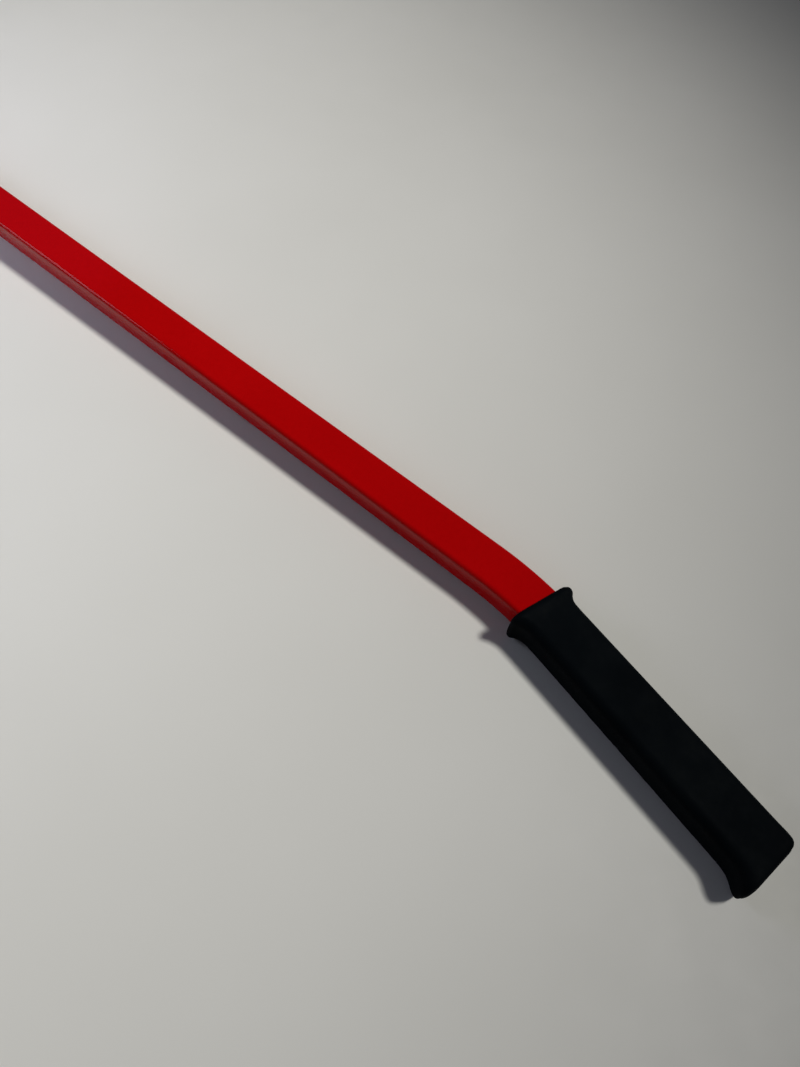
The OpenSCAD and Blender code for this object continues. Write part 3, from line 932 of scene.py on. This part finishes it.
def rubber():
    m = Nodes("grip_rubber")
    m.set(IOR=1.45, Specular_IOR_Level=0.035)
    bloom = m.noise(16.0, 4.0, 0.6)
    m.colour(m.ramp(bloom, [(0.3, (0.0009, 0.0018, 0.0027)), (0.5, (0.0014, 0.0026, 0.0038)), (0.72, (0.0026, 0.0039, 0.0050))]))
    m.rough(m.range(m.noise(48.0, 5.0, 0.6), 0.58, 0.78, 0.3, 0.7))
    grain = m.cells(1150.0, "SMOOTH_F1")
    n1 = m.bump(grain, 0.00006, 0.6)
    m.normal(m.bump(m.noise(2400.0, 3.0, 0.6), 0.00003, 0.5, n1))
    return m.mat


def table_paint():
    m = Nodes("table_top")
    m.set(IOR=1.45, Specular_IOR_Level=0.3)
    m.colour(m.ramp(m.noise(1.6, 3.0, 0.5), [(0.3, (0.70, 0.695, 0.665)), (0.7, (0.76, 0.755, 0.73))]))
    m.rough(m.range(m.noise(30.0, 4.0, 0.6), 0.5, 0.66, 0.3, 0.7))
    m.normal(m.bump(m.noise(420.0, 3.0, 0.5), 0.00005, 0.3))
    return m.mat


# ------------------------------------------------------------------ build
RED, FORGED, BEAD, ZINC = red_paint(), forging_paint(), bead_paint(), zinc()
NYLON, PLUG, RUBBER = nylon(), plug_plastic(), rubber()


def give(ob, mat, body="lever", replaces=None):
    ob.data.materials.clear()
    ob.data.materials.append(mat)
    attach(ob, body)
    if replaces:
        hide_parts(replaces)
    return ob


give(make_tube(), RED, replaces="lever_tube")
give(make_grip(), RUBBER, replaces="grip")
give(make_tongue(), FORGED, replaces="tongue")
give(make_hook(), FORGED, "hook", "cant_hook")
give(make_tongue_weld(), BEAD, replaces="tongue_weld")
give(make_cheek_weld("upper_bead", 1, 51), BEAD, replaces="upper_cheek_weld")
give(make_cheek_weld("lower_bead", -1, 61), BEAD, replaces="lower_cheek_weld")
give(make_cheek("upper_plate", 1), RED, replaces="upper_cheek")
give(make_cheek("lower_plate", -1), RED, replaces="lower_cheek")
give(make_rivets(), FORGED, replaces="tang_rivets")
give(make_bolt(), ZINC, replaces="pivot_bolt")
give(make_nut(), ZINC, replaces="lock_nut")


def turned(name, node, ro, ri, t, z, sign=1.0, mat=None, c=0.35, ci=0.25):
    ob = mm_object(name, lathe(ring_piece(ro, ri, t, c, ci), PIVOT, z, n=120, sign=sign), sharp=28)
    return give(ob, mat or ZINC, replaces=node)


turned("washer_by_head", "head_washer", 10, BOLT_R + 0.25, WASHER_T, TT2 + CHEEK_T, c=0.45)
turned("washer_by_nut", "nut_washer", 10, BOLT_R + 0.25, WASHER_T, -STACK, c=0.45)
turned("spacer_upper_side", "upper_spacer", 15, BUSH_R + 0.4, 3, TT2 - 3.1, c=0.5)
turned("spacer_lower_side", "lower_spacer", 15, BUSH_R + 0.4, 3, -TT2 + 0.1, c=0.5)
turned("bush_sleeve", "pivot_bush", BUSH_R, BOLT_R + 0.1, TUBE_T, -TT2, c=0.4)
turned("nylon_ring", "nut_insert", 6.25, BOLT_R - 0.08, 2.4, -STACK - 9.4, mat=NYLON, c=0.2, ci=0.3)

plug = nodes["tube_plug"]
plug.data.materials.clear()
plug.data.materials.append(PLUG)
bev = plug.modifiers.new("edge", "BEVEL")
bev.width, bev.segments, bev.limit_method, bev.angle_limit = 0.0003, 2, "ANGLE", math.radians(50)

# ------------------------------------------------------------------ floor, light, camera
# the lever lies on the tongue's lower edge and the heel of its grip
FL0, FL1 = (-0.600, 0.0), (0.640, 0.01437)
SLOPE = (FL1[1] - FL0[1]) / (FL1[0] - FL0[0])


def floor_z(x, drop=0.0001):
    return FL0[1] + SLOPE * (x - FL0[0]) - drop


g = 48
xs = np.linspace(-3.2, 3.2, g)
fv = [(x, y, floor_z(x)) for x in xs for y in xs]
ff = [(i * g + j, (i + 1) * g + j, (i + 1) * g + j + 1, i * g + j + 1) for i in range(g - 1) for j in range(g - 1)]
floor = new_object("floor", fv, ff)
floor.data.materials.append(table_paint())


def aim(ob, at):
    d = Vector(at) - ob.location
    ob.rotation_euler = d.to_track_quat("-Z", "Y").to_euler()


def area(name, az, el, dist, size, power, colour=(1, 1, 1), at=(0.1, 0.05, 0.03), shape="DISK", size_y=None):
    li = bpy.data.lights.new(name, "AREA")
    li.shape = shape
    li.size = size
    if size_y:
        li.size_y = size_y
    li.energy = power
    li.color = colour
    ob = bpy.data.objects.new(name, li)
    scene.collection.objects.link(ob)
    a, e = math.radians(az), math.radians(el)
    ob.location = Vector(at) + dist * Vector((math.cos(e) * math.cos(a), math.cos(e) * math.sin(a), math.sin(e)))
    aim(ob, at)
    return ob


def spot(name, place, at, radius, power, cone, colour):
    li = bpy.data.lights.new(name, "SPOT")
    li.shadow_soft_size, li.energy, li.color = radius, power, colour
    li.spot_size, li.spot_blend = math.radians(cone), 1.0
    ob = bpy.data.objects.new(name, li)
    scene.collection.objects.link(ob)
    ob.location = Vector(place)
    aim(ob, at)
    return ob


spot("key", (1.974, 1.456, 3.377), (-1.6, -0.9, 0.0), 0.32, 775, 60, (0.99, 0.975, 0.915))
area("window", 210, 34, 0.95, 0.45, 3.0, (0.76, 0.79, 1.0), at=(-0.15, 0.03, 0.0), shape="RECTANGLE", size_y=0.45)
area("wall", 166, 31, 2.4, 1.1, 0.35, (0.12, 0.16, 1.0), at=(-0.2, 0.08, 0.03), shape="RECTANGLE", size_y=1.0)

world = bpy.data.worlds.new("studio")
scene.world = world
world.use_nodes = True
bg = world.node_tree.nodes["Background"]
bg.inputs["Color"].default_value = (0.85, 0.9, 1.0, 1)
bg.inputs["Strength"].default_value = 0.045

cam_data = bpy.data.cameras.new("camera")
cam_data.sensor_fit = "VERTICAL"
cam_data.sensor_height = 36.0
cam_data.sensor_width = 36.0
cam_data.lens = 36.0 * 801.0 / 1067.0
cam_data.clip_start, cam_data.clip_end = 0.01, 60.0
camera = bpy.data.objects.new("camera", cam_data)
scene.collection.objects.link(camera)
PITCH, YAW, ROLL = 1.0195, -0.587, -0.126
fwd = Vector((math.sin(YAW) * math.cos(PITCH), math.cos(YAW) * math.cos(PITCH), -math.sin(PITCH)))
right = Vector((math.cos(YAW), -math.sin(YAW), 0))
down = fwd.cross(right)
right2 = math.cos(ROLL) * right + math.sin(ROLL) * down
down2 = -math.sin(ROLL) * right + math.cos(ROLL) * down
rot = Matrix((right2, -down2, -fwd)).transposed()
camera.matrix_world = Matrix.Translation((0.47407, -0.2472, 0.62347)) @ rot.to_4x4()
scene.camera = camera

scene.view_settings.view_transform = "Standard"
scene.view_settings.look = "None"
scene.view_settings.exposure = 0.0
scene.view_settings.gamma = 1.0

bpy.context.view_layer.update()
